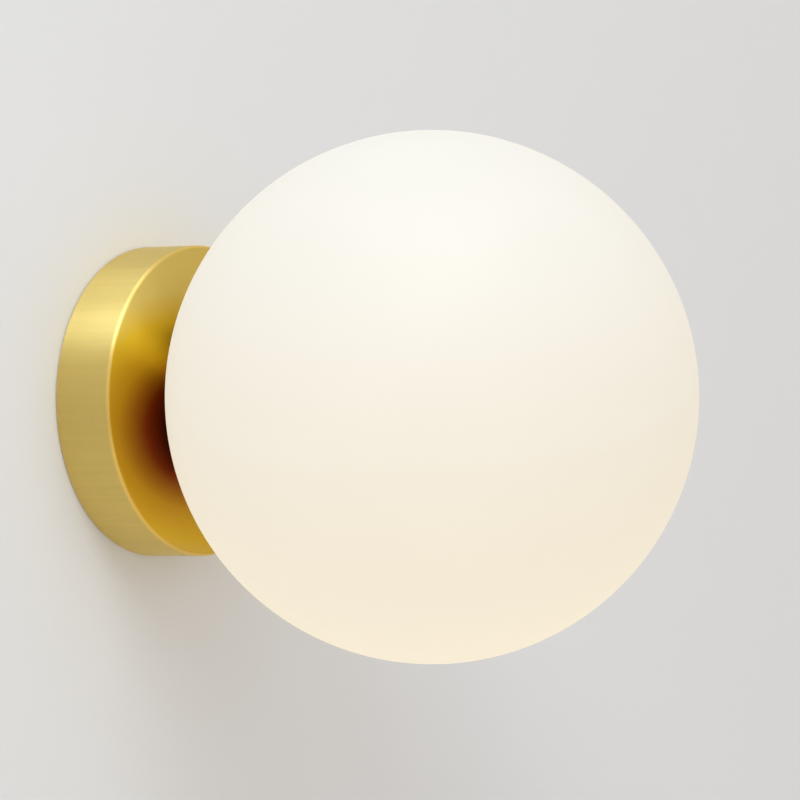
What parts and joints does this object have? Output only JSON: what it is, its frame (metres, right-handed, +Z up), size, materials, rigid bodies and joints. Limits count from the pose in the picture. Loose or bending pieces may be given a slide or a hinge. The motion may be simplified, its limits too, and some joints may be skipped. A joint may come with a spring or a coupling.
{
  "type": "wall lamp",
  "caption": "Wall lamp with a round brass canopy, a small clamping gallery and an opal glass globe that pulls off after its thumbscrews are loosened.",
  "frame": {"origin": "on the lamp's axis in the wall plane, midway between the wall bracket's two slots", "axes": "+Z up; the lamp stands out from the wall along -Y, and +X is to the right for someone who faces the lamp"},
  "size_m": [0.2, 0.232, 0.2],
  "materials": {
    "satin_brass": "turned and brushed, satin lacquer",
    "dark_bronze": "turned and browned",
    "raw_brass": "turned, unlacquered",
    "zinc_steel": "bright zinc plated",
    "tinned_copper": "tinned",
    "opal_glass": "blown opal glass, silk matt outside",
    "glazed_ceramic": "glazed steatite",
    "silicone": "natural silicone rubber",
    "bush_plastic": "moulded polyamide",
    "polyamide": "moulded polyamide, natural",
    "brown_silicone": "silicone insulation",
    "blue_silicone": "silicone insulation",
    "earth_silicone": "green and yellow silicone insulation",
    "lamp_plastic": "moulded, heat resistant",
    "pin_wire": "nickel-plated wire",
    "board": "white solder resist",
    "light_chip": "phosphor-coated light chip",
    "frosted_cover": "frosted polycarbonate"
  },
  "bodies": {
    "mount_body": {"wall_bracket": "zinc_steel", "cable_bush": "bush_plastic", "canopy": "satin_brass", "canopy_screws": "satin_brass", "nipple": "raw_brass", "nipple_nut": "zinc_steel", "toothed_washer": "zinc_steel", "gallery": "dark_bronze", "neck_seat": "silicone", "holder_bracket": "zinc_steel", "lock_nut": "zinc_steel", "lampholder": "glazed_ceramic", "holder_screws": "zinc_steel", "holder_contacts": "raw_brass", "terminal_block": "polyamide", "terminal_tubes": "raw_brass", "terminal_screws": "zinc_steel", "block_screw": "zinc_steel", "earth_screw": "raw_brass", "earth_washer": "zinc_steel", "earth_lug": "tinned_copper", "canopy_lug": "tinned_copper", "live_lead": "brown_silicone", "neutral_lead": "blue_silicone", "earth_lead": "earth_silicone"},
    "globe_body": {"globe": "opal_glass"},
    "bulb_body": {"bulb_base": "lamp_plastic", "bulb_pins": "pin_wire", "bulb_board": "board", "bulb_chips": "light_chip", "bulb_cover": "frosted_cover"},
    "tip_1": {"screw_tip_1": "silicone"},
    "thumb_1": {"thumbscrew_1": "dark_bronze"},
    "tip_2": {"screw_tip_2": "silicone"},
    "thumb_2": {"thumbscrew_2": "dark_bronze"},
    "tip_3": {"screw_tip_3": "silicone"},
    "thumb_3": {"thumbscrew_3": "dark_bronze"}
  },
  "joints": [
    {"name": "globe_pull", "type": "slide", "parent": "mount_body", "child": "globe_body", "axis": [0, -1, 0], "range_m": [0, 0.1]},
    {"name": "bulb_pull", "type": "slide", "parent": "mount_body", "child": "bulb_body", "axis": [0, -1, 0], "range_m": [0, 0.03]},
    {"name": "tip_travel_1", "type": "slide", "parent": "mount_body", "child": "tip_1", "axis": [1, 0, 0], "range_m": [0, 0.001]},
    {"name": "thumb_turn_1", "type": "hinge", "parent": "tip_1", "child": "thumb_1", "pos_m": [0.026, -0.0301, 0], "axis": [1, 0, 0], "range_deg": [0, 720]},
    {"name": "tip_travel_2", "type": "slide", "parent": "mount_body", "child": "tip_2", "axis": [-0.5, 0, 0.866], "range_m": [0, 0.001]},
    {"name": "thumb_turn_2", "type": "hinge", "parent": "tip_2", "child": "thumb_2", "pos_m": [-0.013, -0.0301, 0.02252], "axis": [-0.5, 0, 0.866], "range_deg": [0, 720]},
    {"name": "tip_travel_3", "type": "slide", "parent": "mount_body", "child": "tip_3", "axis": [-0.5, 0, -0.866], "range_m": [0, 0.001]},
    {"name": "thumb_turn_3", "type": "hinge", "parent": "tip_3", "child": "thumb_3", "pos_m": [-0.013, -0.0301, -0.02252], "axis": [-0.5, 0, -0.866], "range_deg": [0, 720]}
  ],
  "couplings": [
    {"joint": "thumb_turn_1", "follows": "tip_travel_1", "rad_per_m": 12566},
    {"joint": "thumb_turn_2", "follows": "tip_travel_2", "rad_per_m": 12566},
    {"joint": "thumb_turn_3", "follows": "tip_travel_3", "rad_per_m": 12566}
  ]
}
